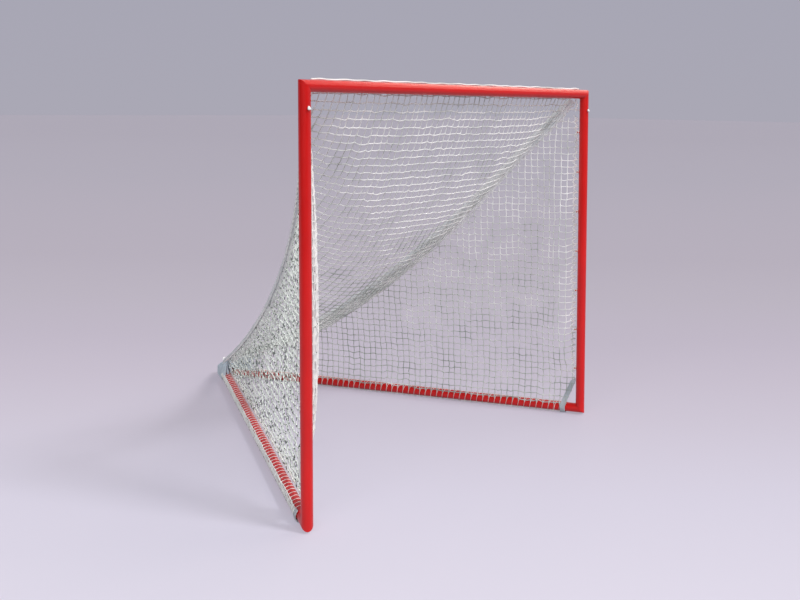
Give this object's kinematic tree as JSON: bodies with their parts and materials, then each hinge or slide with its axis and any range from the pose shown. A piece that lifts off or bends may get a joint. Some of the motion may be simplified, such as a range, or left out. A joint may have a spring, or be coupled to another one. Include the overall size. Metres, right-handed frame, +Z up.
{
  "type": "lacrosse goal",
  "caption": "Free-standing lacrosse goal: welded round-tube frame on a V-shaped base, with a laced white net whose side and back panels meet at sagging seams.",
  "frame": {"origin": "on the ground, under the middle of the goal's outer box", "axes": "+Z up, +Y from the mouth to the rear point of the base, +X to the right as seen from in front of the mouth"},
  "size_m": [1.9302, 2.2956, 1.8844],
  "materials": {
    "powder_coat": "smooth gloss red powder coat on steel tube",
    "net_twine": "white braided polyester twine, matt, knotted square mesh",
    "lacing_cord": "white braided polyester cord, matt"
  },
  "bodies": {
    "root": {"left_post": "powder_coat", "right_post": "powder_coat", "crossbar": "powder_coat", "left_base_pipe": "powder_coat", "right_base_pipe": "powder_coat", "rear_end_cap": "powder_coat", "left_post_eye_1": "powder_coat", "left_post_eye_2": "powder_coat", "left_post_eye_3": "powder_coat", "left_post_eye_4": "powder_coat", "left_post_eye_5": "powder_coat", "left_post_eye_6": "powder_coat", "left_post_eye_7": "powder_coat", "right_post_eye_1": "powder_coat", "right_post_eye_2": "powder_coat", "right_post_eye_3": "powder_coat", "right_post_eye_4": "powder_coat", "right_post_eye_5": "powder_coat", "right_post_eye_6": "powder_coat", "right_post_eye_7": "powder_coat", "crossbar_eye_1": "powder_coat", "crossbar_eye_2": "powder_coat", "crossbar_eye_3": "powder_coat", "crossbar_eye_4": "powder_coat", "crossbar_eye_5": "powder_coat", "crossbar_eye_6": "powder_coat", "crossbar_eye_7": "powder_coat", "crossbar_eye_8": "powder_coat", "net_left_panel": "net_twine", "net_right_panel": "net_twine", "net_back_panel": "net_twine", "left_ridge_seam": "net_twine", "right_ridge_seam": "net_twine", "rear_net_bundle": "net_twine", "left_base_hem": "net_twine", "right_base_hem": "net_twine", "left_base_lacing": "lacing_cord", "right_base_lacing": "lacing_cord", "left_corner_tie": "lacing_cord", "right_corner_tie": "lacing_cord", "rear_bundle_tie": "lacing_cord"}
  },
  "joints": []
}
